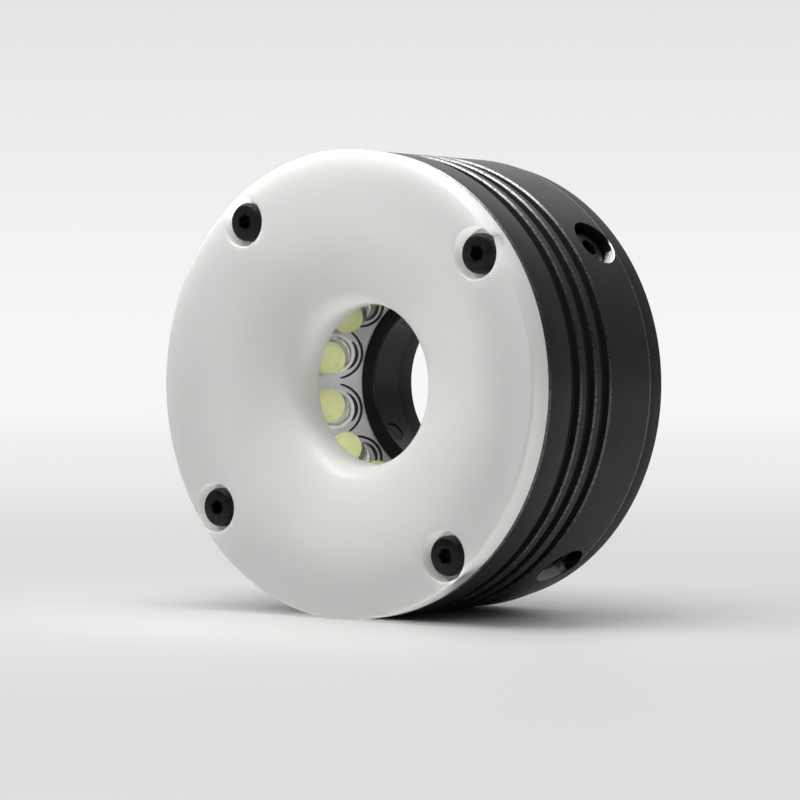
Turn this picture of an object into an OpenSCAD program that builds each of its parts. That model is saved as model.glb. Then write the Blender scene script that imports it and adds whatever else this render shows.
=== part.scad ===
// Ring light for machine vision: a finned round housing with a lens bore through it,
// a cone shaped lamp board inside, and a trumpet shaped opal diffuser on the front.
// The optical axis is Y. The front faces -Y and Z is up, with the light lying on its side.
// The origin is on the axis, in the plane of the four clamp screws that hold the lens.
// The modules measure Y from the seam between the diffuser and the housing, and in_frame()
// then moves each piece to the origin.

/* [Housing] */
// Outside diameter of the housing and the diffuser
housing_d = 65; // [60:0.5:80]
// Wall between the lamp chamber and the outside of the housing
housing_wall = 6.3; // [6:0.1:12]
// Length of the housing from the diffuser seam to the rear plate
housing_l = 25.1; // [23:0.1:32]
// Bevel on the outer front edge
front_bevel = 0.7; // [0.3:0.1:1.2]
// Bevel on the inner front edge
mouth_bevel = 0.4; // [0.2:0.1:0.6]

/* [Cooling grooves] */
// Number of grooves round the housing
groove_count = 3; // [1:1:3]
// Distance from the seam to the first groove
groove_start = 5.34; // [4:0.01:5.6]
// Distance from one groove to the next
groove_pitch = 3.57; // [3.2:0.01:3.7]
// Width of a groove at its floor
groove_w = 2.1; // [1.5:0.1:2.4]
// Depth of a groove
groove_depth = 1.3; // [0.8:0.1:1.4]
// Bevel on each edge of a groove
groove_bevel = 0.3; // [0.1:0.05:0.4]

/* [Lens bore] */
// Wall of the hub between the lens bore and the lamp board
hub_wall = 2.2; // [1.8:0.1:3]
// Distance of the hub face behind the front of the lamp board's inner edge
hub_step = 0.2; // [0.1:0.05:0.4]
// Bevel on the front edge of the bore
bore_bevel = 0.25; // [0.1:0.05:0.4]

/* [Rear plate] */
// Thickness of the rear plate
rear_t = 3.5; // [3:0.1:5]
// How much smaller the rear plate is than the housing, on the radius
rear_inset = 0.45; // [0.1:0.05:1]
// Bevel on the rear edge
rear_bevel = 0.4; // [0.2:0.1:1]
// Extra radius of the rear plate's bore over the lens bore
rear_bore_gap = 0.2; // [0.05:0.05:0.4]
// Distance from the rear screws to the outside of the housing
rear_edge = 7.5; // [6.5:0.1:8.5]
// Length of the rear screws
rear_screw_l = 8; // [6:0.5:9]
// Diameter of a rear screw's countersunk head
rear_head_d = 6; // [5.6:0.1:6.4]
// Angle from a cover screw to the next rear screw
rear_turn = 22.5; // [20:0.5:26]

/* [Diffuser] */
// Thickness of the diffuser's rim
diffuser_t = 3.6; // [3.4:0.1:4.5]
// Wall thickness of the trumpet
diffuser_wall = 2.4; // [2:0.1:2.8]
// How much smaller the throat is than the lens bore, on the radius
throat_step = 0.45; // [0.2:0.05:1]
// Distance from the seam to where the throat becomes straight
throat_start = 2.8; // [2:0.1:4]
// Length of the straight throat
throat_l = 3; // [1:0.1:4]
// Radius of the tight bend into the throat
throat_bend = 3.5; // [3.2:0.1:5]
// Width of the flat rim outside the curved part
rim_w = 5; // [4:0.1:6]
// Rounding of the outer front edge
rim_round = 0.45; // [0.2:0.05:1]
// Depth of the spigot that centres the diffuser in the chamber
spigot_h = 1.5; // [1:0.1:2.5]
// Radial clearance round the spigot
spigot_gap = 0.15; // [0.05:0.05:0.3]
// Width of the spigot ring
spigot_w = 2.2; // [1.5:0.1:3]

/* [Cover screws] */
// Angle of the first cover screw and clamp screw above the horizontal
screw_angle = 37.7; // [0:0.1:60]
// Number of cover screws, and of clamp screws and rear screws
screw_count = 4; // [4:1:4]
// Distance from the cover screws to the outside of the housing
cover_edge = 3.5; // [3.3:0.1:3.8]
// Thread diameter of all the screws
thread_d = 3; // [2.5:0.1:3]
// Radial clearance of every thread
thread_gap = 0.05; // [0.02:0.01:0.08]
// Diameter of a cover screw's head
cover_head_d = 5.5; // [5:0.1:5.6]
// Height of a cover screw's head
cover_head_h = 2; // [1.5:0.1:2]
// Distance of the cover screw's head below the diffuser's face
cover_sink = 0.5; // [0.3:0.1:0.6]
// Diameter of the counterbore in the diffuser
cover_counterbore_d = 7; // [6.2:0.1:7]
// Length of a cover screw under its head
cover_screw_l = 8; // [6:0.5:10]
// Width across the flats of the cover screw's socket
cover_socket = 2; // [1.5:0.1:2.5]

/* [Clamp screws] */
// Distance from the clamp screws' axes to the rear plate
clamp_from_rear = 4; // [3.9:0.05:4.2]
// Diameter of the counterbore round a clamp screw's head
clamp_counterbore_d = 7.3; // [6.5:0.1:7.4]
// Depth of that counterbore
clamp_counterbore_depth = 6.5; // [6:0.1:7]
// Distance of a clamp screw's head below the outside of the housing
clamp_sink = 1.25; // [0.5:0.05:2]
// Diameter of a clamp screw's head
clamp_head_d = 5.5; // [5:0.1:5.6]
// Height of a clamp screw's head
clamp_head_h = 3; // [2.5:0.1:3]
// Distance from a clamp screw's tip to the wall of the lens bore
clamp_tip_gap = 0.45; // [0.2:0.05:0.8]
// Width across the flats of the clamp screw's socket
clamp_socket = 2.5; // [2:0.1:3]
// Bevel on the clamp screw's head and tip
clamp_bevel = 0.3; // [0.1:0.05:0.5]

/* [Lamp board] */
// Tilt of the cone shaped board, and of the lamps on it
board_tilt = 30; // [26:0.5:32]
// Radial gap between the hub and the board's inner edge
hub_gap = 0.1; // [0.05:0.05:0.3]
// Distance from the front of the board's inner edge to the rear plate
board_from_rear = 6.2; // [6.1:0.1:7]
// Thickness of the board
board_t = 0.4; // [0.3:0.05:0.5]
// Radial gap between the board's outer edge and the chamber wall
board_gap = 0.2; // [0.1:0.05:0.4]
// Thickness of the tape under the board
tape_t = 0.1; // [0.05:0.05:0.15]
// Number of lamps in the inner row
inner_count = 13; // [8:1:13]
// Angle of the first lamp in the inner row
inner_angle = 165.5; // [150:0.1:180]
// Distance along the board from its inner edge to the inner row
inner_row = 4.08; // [3.9:0.01:4.3]
// Number of lamps in the outer row
outer_count = 18; // [10:1:20]
// Distance along the board from the inner row to the outer row
row_gap = 6.6; // [6.2:0.1:8]
// Distance along the board from the outer row to its outer edge
board_margin = 3.06; // [2.9:0.02:4]
// Width of the groove behind each row that clears the lamps' leads
lead_groove_w = 2.4; // [2:0.1:2.8]
// Gap between the ends of the leads and the floor of that groove
lead_groove_gap = 0.3; // [0.2:0.05:0.5]
// Radius of the inner printed arc round a lamp
mark_in_r = 2.95; // [2.9:0.05:3.1]
// Radius of the outer printed arc round a lamp
mark_out_r = 3.85; // [3.6:0.05:3.9]
// Line width of the printed arcs
mark_w = 0.42; // [0.2:0.02:0.5]
// Thickness of the printed arcs
mark_t = 0.05; // [0.03:0.01:0.1]
// Half the angle that the inner arc spans
mark_in_half = 46; // [20:1:60]
// Half the angle that the outer arc spans
mark_out_half = 68; // [30:1:80]

/* [Lamps] */
// Diameter of a lamp's body
lamp_d = 5; // [4.6:0.1:5.2]
// Height of a lamp from its base to the top of its dome
lamp_h = 8.6; // [7.5:0.1:9]
// Diameter of the flange at a lamp's base
lamp_flange_d = 5.8; // [5.5:0.1:5.9]
// Height of that flange
lamp_flange_h = 1; // [0.8:0.1:1.2]
// Distance of a lamp's base above the board at its centre
lamp_lift = 0.15; // [0.13:0.01:0.3]
// Diameter of the phosphor disc in a lamp
phosphor_d = 4.2; // [2:0.1:4.4]
// Thickness of the phosphor disc
phosphor_t = 0.4; // [0.2:0.1:0.8]
// Depth of the phosphor disc below the top of a lamp
phosphor_depth = 2.6; // [2.4:0.1:5]
// Gap round the phosphor disc
phosphor_gap = 0.02; // [0.01:0.01:0.05]
// Diameter of a lead
lead_d = 0.5; // [0.4:0.05:0.6]
// Distance between a lamp's two leads
lead_pitch = 2.54; // [2:0.02:2.6]
// Length of a lead behind the board
lead_tail = 0.8; // [0.6:0.1:0.9]
// Radial gap between a lead and its hole in the board
lead_gap = 0.1; // [0.05:0.01:0.2]
// Diameter of the solder cone on a lead
solder_d = 1.2; // [1:0.1:1.4]
// Number of chip resistors on the board
resistor_count = 6; // [3:1:9]
// Size of a chip resistor: along the board, across it, and thickness
resistor_size = [2, 1.25, 0.5];
// Distance of the resistors inwards from the board's outer edge, along the board
resistor_inset = 1.7; // [1.3:0.1:1.9]
// Distance of a resistor above the board at its centre
resistor_lift = 0.03; // [0.02:0.01:0.1]

/* [Cable inlet] */
// Angle from the third cover screw back to the cable inlet
inlet_turn = 45; // [40:1:50]
// Distance from the inlet's axis to the rear plate
inlet_from_rear = 5; // [4.9:0.05:5.1]
// Diameter of the cable that the inlet takes
cable_d = 3.6; // [3:0.1:3.8]
// Thread diameter of the inlet body
inlet_thread_d = 6; // [5.8:0.1:6.4]
// Depth of the inlet's thread in the housing
inlet_thread_l = 5.5; // [4:0.1:6]
// Width across the flats of the inlet body and nut
inlet_hex = 7.5; // [7:0.1:7.6]
// Height of the inlet body's hexagon
inlet_hex_h = 2.2; // [1.5:0.1:3]
// Depth of the flat spot that the inlet sits on
inlet_flat = 0.45; // [0.4:0.05:0.8]
// Height of the inlet's nut
inlet_nut_h = 4.5; // [3.5:0.1:6]
// Wall of the rubber grommet in the inlet
grommet_wall = 0.7; // [0.5:0.05:0.8]
// Diameter of the channel that takes the wires from the board to the inlet
channel_d = 3; // [2.8:0.1:3.1]
// Diameter of the bore between that channel and the inlet's grommet
wire_bore_d = 2.8; // [2.6:0.1:2.9]
// Distance from the wall of the chamber to the channel's centre
channel_in = 2.7; // [2.5:0.1:3]
// Diameter of a supply wire
wire_d = 1.2; // [0.8:0.1:1.3]

/* [Hidden] */
$fn = 96;
// Overlap that makes a cut run clear of a face
cut = 0.5;
// Half of the countersunk screws' angle
sink_half_angle = 45;
// Depth of a hexagon socket
socket_depth = 1.5;
// Depth of a tapped hole past the end of its screw
tap_spare = 0.6;
// Gap between two threaded pieces of the inlet, and round its grommet
inlet_gap = 0.05;
// Depth of the inlet's threaded hole past the end of its thread
inlet_spare = 0.4;
// Height of the rings that the printed arcs are cut from
mark_reach = 4;
// Half the gap between the two supply wires
wire_gap = 0.05;
// Distance of the wires' ends inside the inlet's seat
wire_stop = 1;

housing_r = housing_d / 2;
chamber_r = housing_r - housing_wall;
rear_y = housing_l + rear_t;
clamp_y = housing_l - clamp_from_rear;
screw_step = 360 / screw_count;
tap_r = thread_d / 2 + thread_gap;
tilt_cos = cos(board_tilt);
tilt_sin = sin(board_tilt);
board_in_y = housing_l - board_from_rear;
hub_y = board_in_y + hub_step;
seat_depth = board_t + tape_t;
outer_row = inner_row + row_gap;
board_w = outer_row + board_margin;
board_out_r = chamber_r - board_gap;
board_in_r = board_out_r - board_w * tilt_cos;
hub_r = board_in_r - hub_gap;
bore_r = hub_r - hub_wall;
cover_r = housing_r - cover_edge;
rear_r = housing_r - rear_edge;
inlet_y = housing_l - inlet_from_rear;
inlet_angle = screw_angle + 2 * screw_step - inlet_turn;
inlet_seat_r = housing_r - inlet_flat;
channel_r = chamber_r - channel_in;
outer_angle = inlet_angle + 180 / outer_count;
lead_span = lamp_lift + board_t;
phosphor_h = lamp_h - phosphor_depth;
// Only as many grooves are cut as fit in front of the clamp screws
groove_room = floor((clamp_y - clamp_counterbore_d / 2 - groove_start) / groove_pitch);
grooves = min(groove_count, groove_room);

// Distance from the seam to the front of the board, at a radius
function board_y(r) = board_in_y - (r - board_in_r) * tan(board_tilt);
// Radius of the board at a distance along it from its inner edge
function board_r(s) = board_in_r + s * tilt_cos;

module in_frame() {
    translate([0, -clamp_y, 0])
        children();
}

// The profile's X is the radius and its Y is the distance behind the seam
module turned() {
    rotate([-90, 0, 0])
        rotate_extrude()
            children();
}

// Turns a shape that is drawn beside +X to an angle above the horizontal
module at_angle(angle) {
    rotate([0, -angle, 0])
        children();
}

// A rod along the optical axis, from one distance behind the seam to another
module axial_rod(r, y0, y1) {
    translate([0, y0, 0])
        rotate([-90, 0, 0])
            cylinder(r = r, h = y1 - y0);
}

// A rod along +X between two radii, which may differ in thickness
module radial_rod(r, x0, x1) {
    translate([x0, 0, 0])
        rotate([0, 90, 0])
            cylinder(r = r, h = x1 - x0);
}

module radial_cone(r0, r1, x0, x1) {
    translate([x0, 0, 0])
        rotate([0, 90, 0])
            cylinder(r1 = r0, r2 = r1, h = x1 - x0);
}

// A hexagonal rod along +X
module radial_hex(across_flats, x0, x1) {
    translate([x0, 0, 0])
        rotate([0, 90, 0])
            cylinder(d = across_flats / cos(30), h = x1 - x0, $fn = 6);
}

// A layer that follows the board, between two radii and two depths behind its front
module board_layer(r0, r1, depth0, depth1) {
    turned()
        polygon([
            [r0, board_y(r0) + depth0 / tilt_cos],
            [r1, board_y(r1) + depth0 / tilt_cos],
            [r1, board_y(r1) + depth1 / tilt_cos],
            [r0, board_y(r0) + depth1 / tilt_cos]]);
}

// Stands a shape on the board, at a distance along it and an angle, with +Z off its face
module on_board(s, angle) {
    at_angle(angle)
        translate([board_r(s), board_in_y - s * tilt_sin, 0])
            rotate([0, 0, -board_tilt])
                rotate([90, 0, 0])
                    children();
}

module each_inner_lamp() {
    for (i = [0 : inner_count - 1])
        on_board(inner_row, inner_angle + i * 360 / inner_count)
            children();
}

module each_outer_lamp() {
    for (i = [0 : outer_count - 1])
        on_board(outer_row, outer_angle + i * 360 / outer_count)
            children();
}

module each_screw(turn = 0) {
    for (i = [0 : screw_count - 1])
        at_angle(screw_angle + turn + i * screw_step)
            children();
}

// The groove behind one row of lamps
module lead_groove(row) {
    board_layer(board_r(row - lead_groove_w / 2), board_r(row + lead_groove_w / 2),
        -cut, board_t + lead_tail + lead_groove_gap);
}

module cooling_groove(y) {
    floor_r = housing_r - groove_depth;
    turned()
        polygon([
            [floor_r, y + groove_bevel],
            [floor_r, y + groove_bevel + groove_w],
            [housing_r - groove_bevel, y + groove_bevel + groove_w],
            [housing_r + groove_bevel, y + groove_w + 3 * groove_bevel],
            [housing_r + groove_bevel, y - groove_bevel],
            [housing_r - groove_bevel, y + groove_bevel]]);
}

module housing_blank() {
    seat = seat_depth / tilt_cos;
    turned()
        polygon([
            [housing_r - front_bevel, 0],
            [housing_r, front_bevel],
            [housing_r, housing_l],
            [bore_r, housing_l],
            [bore_r, hub_y + bore_bevel],
            [bore_r + bore_bevel, hub_y],
            [hub_r, hub_y],
            [hub_r, board_y(hub_r) + seat],
            [chamber_r, board_y(chamber_r) + seat],
            [chamber_r, mouth_bevel],
            [chamber_r + mouth_bevel, 0]]);
}

module clamp_hole() {
    translate([0, clamp_y, 0]) {
        radial_rod(tap_r, 0, housing_r);
        radial_rod(clamp_counterbore_d / 2, housing_r - clamp_counterbore_depth, housing_r + cut);
    }
}

module inlet_hole() {
    flat_r = inlet_hex / 2 / cos(30) + 0.2;
    translate([0, inlet_y, 0]) {
        radial_rod(wire_bore_d / 2, channel_r - channel_d / 2 - inlet_spare, housing_r);
        radial_rod(inlet_thread_d / 2 + inlet_gap, inlet_seat_r - inlet_thread_l - inlet_spare,
            housing_r);
        radial_rod(flat_r, inlet_seat_r, housing_r + cut);
    }
    translate([channel_r, 0, 0])
        axial_rod(channel_d / 2, board_y(channel_r - channel_d / 2), inlet_y);
}

module housing() {
    color("#26262a")
    difference() {
        housing_blank();
        for (i = [0 : grooves - 1])
            cooling_groove(groove_start + i * groove_pitch);
        lead_groove(inner_row);
        lead_groove(outer_row);
        each_screw()
            translate([cover_r, 0, 0])
                axial_rod(tap_r, -cut, cover_sink + cover_head_h - diffuser_t + cover_screw_l + tap_spare);
        each_screw(rear_turn)
            translate([rear_r, 0, 0])
                axial_rod(tap_r, rear_y - rear_screw_l - tap_spare, housing_l + cut);
        each_screw()
            clamp_hole();
        at_angle(inlet_angle)
            inlet_hole();
    }
}

module rear_plate() {
    r = housing_r - rear_inset;
    hole_r = bore_r + rear_bore_gap;
    head_r = rear_head_d / 2;
    color("#222226")
    difference() {
        turned()
            polygon([
                [hole_r, housing_l],
                [r, housing_l],
                [r, rear_y - rear_bevel],
                [r - rear_bevel, rear_y],
                [hole_r + rear_bevel, rear_y],
                [hole_r, rear_y - rear_bevel]]);
        each_screw(rear_turn)
            translate([rear_r, 0, 0]) {
                axial_rod(tap_r, housing_l - cut, rear_y);
                sunk_head(head_r + thread_gap + cut, rear_y + cut);
            }
    }
}

// The cone of a countersunk screw whose face lies at a distance behind the seam
module sunk_head(r, y) {
    h = (r - thread_d / 2) / tan(sink_half_angle);
    translate([0, y - h, 0])
        rotate([-90, 0, 0])
            cylinder(r1 = thread_d / 2, r2 = r, h = h);
}

// The trumpet's front face is two arcs that meet without a corner: a wide one from the
// flat rim, and a tight one into the throat
flare_r = housing_r - rim_w;
throat_r = bore_r - throat_step;
bend_x = throat_r + throat_bend;
flare_rise = throat_start + diffuser_t - throat_bend;
flare_run = flare_r - bend_x;
flare_angle = 2 * atan(flare_rise / flare_run);
flare_bend = flare_run / sin(flare_angle) + throat_bend;
flare_y = flare_bend - diffuser_t;

// Points along an arc, from one angle to another
function arc(centre, r, a0, a1, steps) = [
    for (i = [0 : steps])
        centre + r * [cos(a0 + (a1 - a0) * i / steps), sin(a0 + (a1 - a0) * i / steps)]];

// From the rear of the throat along the front to the rim, and back along the rear side
module diffuser_profile() {
    wide = [flare_r, flare_y];
    tight = [bend_x, throat_start];
    join_at = -90 - flare_angle;
    back_bend = flare_bend - diffuser_wall;
    throat_y = throat_start + throat_l;
    spigot_r = chamber_r - spigot_gap;
    spigot_at = -90 - asin((flare_r - spigot_r + spigot_w) / back_bend);
    polygon(concat(
        [[throat_r, throat_y]],
        arc(tight, throat_bend, -180, join_at, 16),
        arc(wide, flare_bend, join_at + flare_angle / 14, -90, 13),
        arc([housing_r - rim_round, rim_round - diffuser_t], rim_round, -90, 0, 6),
        [[housing_r, 0], [spigot_r, 0], [spigot_r, spigot_h], [spigot_r - spigot_w, spigot_h]],
        arc(wide, back_bend, spigot_at, join_at, 12),
        arc(tight, throat_bend - diffuser_wall, join_at - 4, -180, 12),
        [[throat_r + diffuser_wall, throat_y]]));
}

module diffuser() {
    seat_y = cover_sink + cover_head_h - diffuser_t;
    color("#e9eae8")
    difference() {
        turned()
            diffuser_profile();
        each_screw()
            translate([cover_r, 0, 0]) {
                axial_rod(tap_r, seat_y - cut, spigot_h + cut);
                axial_rod(cover_counterbore_d / 2, -diffuser_t - cut, seat_y);
            }
    }
}

module lead_holes() {
    for (side = [-1, 1])
        translate([0, side * lead_pitch / 2, -board_t - cut])
            cylinder(r = lead_d / 2 + lead_gap, h = board_t + 2 * cut, $fn = 16);
}

module lamp_board() {
    color("#b9b7bf")
    difference() {
        board_layer(board_in_r, board_out_r, 0, board_t);
        each_inner_lamp()
            lead_holes();
        each_outer_lamp()
            lead_holes();
    }
}

// One ring of tape between two distances along the board
module tape_ring(s0, s1) {
    board_layer(board_r(s0), board_r(s1), board_t, seat_depth);
}

module board_tape() {
    half = lead_groove_w / 2;
    color("#dadad4") {
        tape_ring(0, inner_row - half);
        tape_ring(inner_row + half, outer_row - half);
        tape_ring(outer_row + half, board_w);
    }
}

// One printed arc on the side of a lamp that faces the axis
module mark_arc(r, half) {
    rotate([0, 0, 180 - half])
        rotate_extrude(angle = 2 * half)
            translate([r - mark_w / 2, -mark_reach / 2])
                square([mark_w, mark_reach]);
}

module board_marks() {
    color("#17151a")
    intersection() {
        board_layer(board_in_r, board_out_r, -mark_t, 0);
        each_inner_lamp() {
            mark_arc(mark_in_r, mark_in_half);
            mark_arc(mark_out_r, mark_out_half);
        }
    }
}

// One clear lamp body, hollowed for its phosphor disc
module lamp() {
    dome_z = lamp_h - lamp_d / 2;
    translate([0, 0, lamp_lift])
        difference() {
            union() {
                cylinder(d = lamp_flange_d, h = lamp_flange_h);
                cylinder(d = lamp_d, h = dome_z);
                translate([0, 0, dome_z])
                    sphere(d = lamp_d);
            }
            translate([0, 0, phosphor_h - phosphor_gap])
                cylinder(r = phosphor_d / 2 + phosphor_gap, h = phosphor_t + 2 * phosphor_gap);
        }
}

module phosphor() {
    translate([0, 0, lamp_lift + phosphor_h])
        cylinder(d = phosphor_d, h = phosphor_t);
}

// The two leads under a lamp, each with its cone of solder behind the board
module leads() {
    for (side = [-1, 1])
        translate([0, side * lead_pitch / 2, 0]) {
            translate([0, 0, lamp_lift - lead_span - lead_tail])
                cylinder(d = lead_d, h = lead_span + lead_tail, $fn = 16);
            translate([0, 0, -board_t - lead_tail / 2 - mark_t])
                cylinder(d1 = lead_d, d2 = solder_d, h = lead_tail / 2, $fn = 16);
        }
}

module inner_lamps() {
    color("#e7ead9")
    each_inner_lamp()
        lamp();
}

module outer_lamps() {
    color("#e7ead9")
    each_outer_lamp()
        lamp();
}

module inner_phosphors() {
    color("#b9bf77")
    each_inner_lamp()
        phosphor();
}

module outer_phosphors() {
    color("#b9bf77")
    each_outer_lamp()
        phosphor();
}

module inner_leads() {
    color("#c9cacc")
    each_inner_lamp()
        leads();
}

module outer_leads() {
    color("#c9cacc")
    each_outer_lamp()
        leads();
}

// Chip resistors, each midway between two lamps of the outer row
module resistors() {
    size = resistor_size;
    s = board_w - resistor_inset;
    step = floor(outer_count / resistor_count) * 360 / outer_count;
    color("#1d1c1c")
    for (i = [0 : resistor_count - 1])
        on_board(s, outer_angle + 180 / outer_count + i * step)
            translate([-size[0] / 2, -size[1] / 2, resistor_lift])
                cube(size);
}

// A socket head screw along the axis, with the underside of its head at the origin and
// its shank towards the rear
module cover_screw() {
    difference() {
        union() {
            axial_rod(cover_head_d / 2, -cover_head_h, 0);
            axial_rod(thread_d / 2, 0, cover_screw_l);
        }
        translate([0, -cover_head_h - cut, 0])
            rotate([-90, 0, 0])
                cylinder(d = cover_socket / cos(30), h = socket_depth - cut + cut, $fn = 6);
    }
}

module cover_screws() {
    color("#1b1b1d")
    each_screw()
        translate([cover_r, cover_sink + cover_head_h - diffuser_t, 0])
            cover_screw();
}

module rear_screw() {
    difference() {
        union() {
            axial_rod(thread_d / 2, rear_y - rear_screw_l, rear_y);
            sunk_head(rear_head_d / 2, rear_y);
        }
        translate([0, rear_y - socket_depth, 0])
            rotate([-90, 0, 0])
                cylinder(d = cover_socket / cos(30), h = socket_depth + cut, $fn = 6);
    }
}

module rear_screws() {
    color("#1b1b1d")
    each_screw(rear_turn)
        translate([rear_r, 0, 0])
            rear_screw();
}

// A socket head screw that points at the axis and holds the lens
module clamp_screw(number) {
    top = housing_r - clamp_sink;
    tip = bore_r + clamp_tip_gap;
    head_r = clamp_head_d / 2;
    shank_r = thread_d / 2;
    color("#1b1b1d")
    at_angle(screw_angle + (number - 1) * screw_step)
        translate([0, clamp_y, 0])
            difference() {
                union() {
                    radial_cone(head_r, head_r - clamp_bevel, top - clamp_bevel, top);
                    radial_rod(head_r, top - clamp_head_h, top - clamp_bevel);
                    radial_rod(shank_r, tip + clamp_bevel, top - clamp_head_h);
                    radial_cone(shank_r - clamp_bevel, shank_r, tip, tip + clamp_bevel);
                }
                radial_hex(clamp_socket, top - socket_depth, top + cut);
            }
}

module at_inlet() {
    at_angle(inlet_angle)
        translate([0, inlet_y, 0])
            children();
}

module inlet_body() {
    base = inlet_seat_r;
    collar = base + inlet_hex_h;
    stem_r = cable_d / 2 + grommet_wall + inlet_gap;
    color("#c8cacb")
    at_inlet()
        difference() {
            union() {
                radial_rod(inlet_thread_d / 2, base - inlet_thread_l, base);
                radial_hex(inlet_hex, base, collar);
                radial_rod(inlet_thread_d / 2, collar, collar + inlet_nut_h / 2);
            }
            radial_rod(wire_bore_d / 2, base - inlet_thread_l - cut, base + cut);
            radial_rod(stem_r, base, collar + inlet_nut_h);
        }
}

module inlet_nut() {
    base = inlet_seat_r + inlet_hex_h + inlet_gap;
    top = base + inlet_nut_h;
    thread_r = inlet_thread_d / 2 + inlet_gap;
    shoulder = base + inlet_nut_h * 0.7;
    color("#c8cacb")
    at_inlet()
        difference() {
            union() {
                radial_hex(inlet_hex, base, shoulder);
                radial_cone(inlet_hex / 2, inlet_thread_d / 2, shoulder, top);
            }
            radial_rod(thread_r, base - cut, base + inlet_nut_h / 2 + inlet_gap);
            radial_rod(cable_d / 2 + grommet_wall + inlet_gap, base, top + cut);
        }
}

module inlet_grommet() {
    base = inlet_seat_r;
    color("#18181a")
    at_inlet()
        difference() {
            radial_rod(cable_d / 2 + grommet_wall, base, base + inlet_hex_h + inlet_nut_h);
            radial_rod(cable_d / 2, base - cut, base + inlet_hex_h + inlet_nut_h + cut);
        }
}

// Two wires from the back of the board, along the channel and out through the inlet
module supply_wires() {
    r = wire_d / 2;
    start = board_y(channel_r - r) + board_t / tilt_cos;
    color("#8a2f2a")
    at_angle(inlet_angle)
        for (side = [-1, 1])
            translate([0, 0, side * (r + wire_gap)]) {
                translate([channel_r, 0, 0])
                    axial_rod(r, start, inlet_y);
                translate([channel_r, inlet_y, 0])
                    sphere(r = r);
                translate([0, inlet_y, 0])
                    radial_rod(r, channel_r, inlet_seat_r - wire_stop);
            }
}

in_frame() housing();
in_frame() rear_plate();
in_frame() diffuser();
in_frame() lamp_board();
in_frame() board_tape();
in_frame() board_marks();
in_frame() inner_lamps();
in_frame() outer_lamps();
in_frame() inner_phosphors();
in_frame() outer_phosphors();
in_frame() inner_leads();
in_frame() outer_leads();
in_frame() resistors();
in_frame() cover_screws();
in_frame() rear_screws();
in_frame() clamp_screw(1);  // clamp_screw_1
in_frame() clamp_screw(2);  // clamp_screw_2
in_frame() clamp_screw(3);  // clamp_screw_3
in_frame() clamp_screw(4);  // clamp_screw_4
in_frame() inlet_body();
in_frame() inlet_nut();
in_frame() inlet_grommet();
in_frame() supply_wires();
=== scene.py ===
import math

import bmesh
import bpy
from mathutils import Matrix, Vector


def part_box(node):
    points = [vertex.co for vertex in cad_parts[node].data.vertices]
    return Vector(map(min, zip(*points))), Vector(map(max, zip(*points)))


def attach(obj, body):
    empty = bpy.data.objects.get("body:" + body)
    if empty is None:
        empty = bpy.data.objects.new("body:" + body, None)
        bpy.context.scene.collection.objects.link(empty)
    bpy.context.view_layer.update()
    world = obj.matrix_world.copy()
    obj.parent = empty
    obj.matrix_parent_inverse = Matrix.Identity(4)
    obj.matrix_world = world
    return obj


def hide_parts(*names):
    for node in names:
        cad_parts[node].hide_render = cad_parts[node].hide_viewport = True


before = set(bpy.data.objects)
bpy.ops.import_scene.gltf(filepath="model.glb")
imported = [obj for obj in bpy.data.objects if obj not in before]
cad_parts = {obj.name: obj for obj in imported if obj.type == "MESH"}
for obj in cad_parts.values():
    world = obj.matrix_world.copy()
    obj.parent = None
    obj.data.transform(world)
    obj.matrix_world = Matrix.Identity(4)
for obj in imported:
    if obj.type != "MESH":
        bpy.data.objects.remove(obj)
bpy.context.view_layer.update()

# Sizes are in millimetres, and Y in the outlines is measured backwards from the diffuser's seam.
# FIRST is the angle of the first screw in degrees, and TILT the slope of the lamp board.
MM = 0.001
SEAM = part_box("housing")[0].y
R_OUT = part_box("diffuser")[1].z / MM
FIRST = 37.7
TILT = math.radians(30)

GROOVES, GROOVE_FROM, GROOVE_STEP, GROOVE_WIDE, GROOVE_DEEP, GROOVE_FILLET = 3, 5.64, 3.57, 2.1, 1.3, 0.3
# HIGHLIGHT_BAND is how far before the rear a painted highlight band on the cylinder begins
FRONT_BEVEL, WORN_LIP, HIGHLIGHT_BAND, REAR_BEVEL, BREAK = 0.7, 0.26, 0.5, 0.2, 0.05
REAR, CHAMBER_R, MOUTH_BEVEL = 25.1, 26.2, 0.4
BORE_R, BORE_BEVEL, HUB_R, HUB_FRONT = 11.8, 0.25, 14.0, 19.1
PLATE_THICK, PLATE_STEP, PLATE_HOLE_R = 3.5, 0.45, 12.0

SCREWS, SCREW_HOLE_R, HEAD_R = 4, 1.55, 2.75
COVER_CIRCLE, COVER_HOLE_R, COVER_SEAT = 29, 3.5, 1.1
REAR_CIRCLE, REAR_TURN, REAR_HEAD_R = 25, 22.5, 3.1
CLAMP_Y, CLAMP_HOLE_R, CLAMP_FLOOR, CLAMP_HEAD_FROM = -SEAM / MM, 3.65, 26.0, 28.25

BOARD_R, BOARD_Y, SEAT_GAP = 14.1, 18.9, 0.5
LAMP_R, LAMP_LIFT, DOME_FROM = 2.5, 0.15, 6.1
INNER_LAMPS, INNER_FIRST, INNER_ROW = 13, 165.5, 4.08
OUTER_LAMPS, OUTER_TURN, OUTER_ROW = 18, 10, 10.68

INLET, INLET_Y, INLET_FLAT, INLET_FLAT_R, INLET_HOLE_R = FIRST + 135, 20.1, 32.05, 4.53, 3.05
INLET_STEM_R, INLET_ACROSS, WIRE_BORE_R = 2.55, 7.5, 1.4

TURNED, FINE, ROUND, COARSE = 288, 96, 64, 32
FILLET_STEPS = 5
BACKWARDS, FORWARDS, UP = Vector((0, 1, 0)), Vector((0, -1, 0)), Vector((0, 0, 1))


# meshes

def seam_point(x, y, z):
    return Vector((x * MM, SEAM + y * MM, z * MM))


def around(degrees, radius, y):
    angle = math.radians(degrees)
    return seam_point(radius * math.cos(angle), y, radius * math.sin(angle))


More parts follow.
